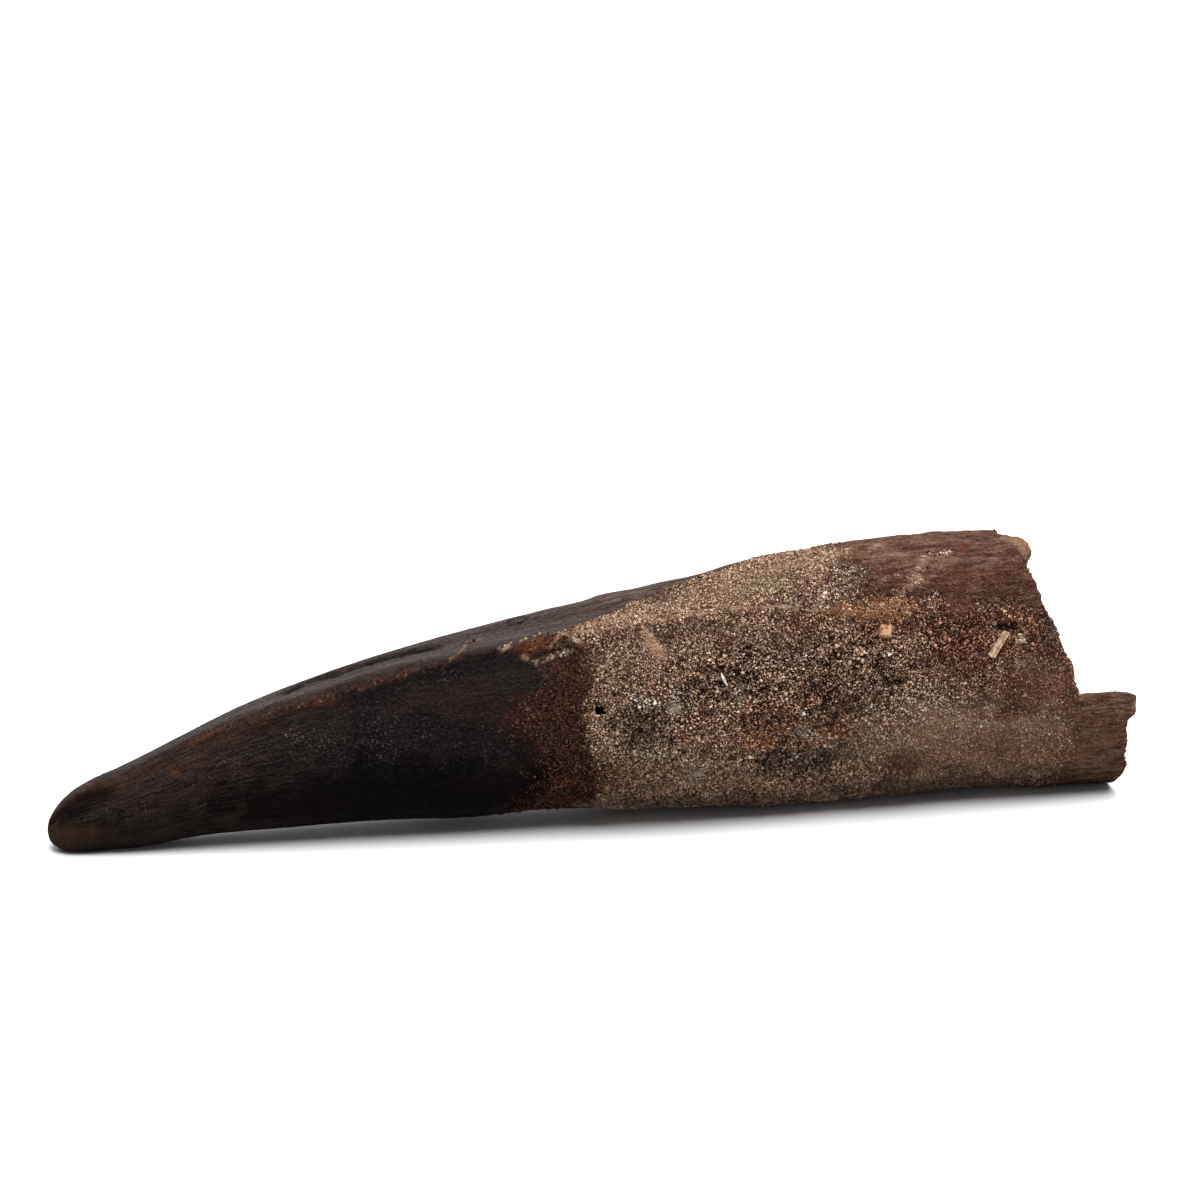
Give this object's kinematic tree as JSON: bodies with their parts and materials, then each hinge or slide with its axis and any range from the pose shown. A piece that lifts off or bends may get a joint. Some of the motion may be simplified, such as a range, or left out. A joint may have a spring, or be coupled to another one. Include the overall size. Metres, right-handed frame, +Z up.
{
  "type": "fossil spinosaurus tooth",
  "caption": "Curved conical fossil tooth lying on its concave edge: dark ridged crown with a blunt worn tip, sand-crusted root, stepped broken end.",
  "frame": {"origin": "centre of the footprint on the surface the tooth lies on", "axes": "+X from the tip towards the broken root end, +Z up, -Y towards the side that the picture shows"},
  "size_m": [0.1236, 0.0268, 0.0301],
  "materials": {
    "fossil_tooth": "dark brown-black worn enamel on the crown, matt tan cemented sand on the root, reddish brown grained dentine at the broken end"
  },
  "bodies": {
    "root": {"tooth": "fossil_tooth"}
  },
  "joints": []
}
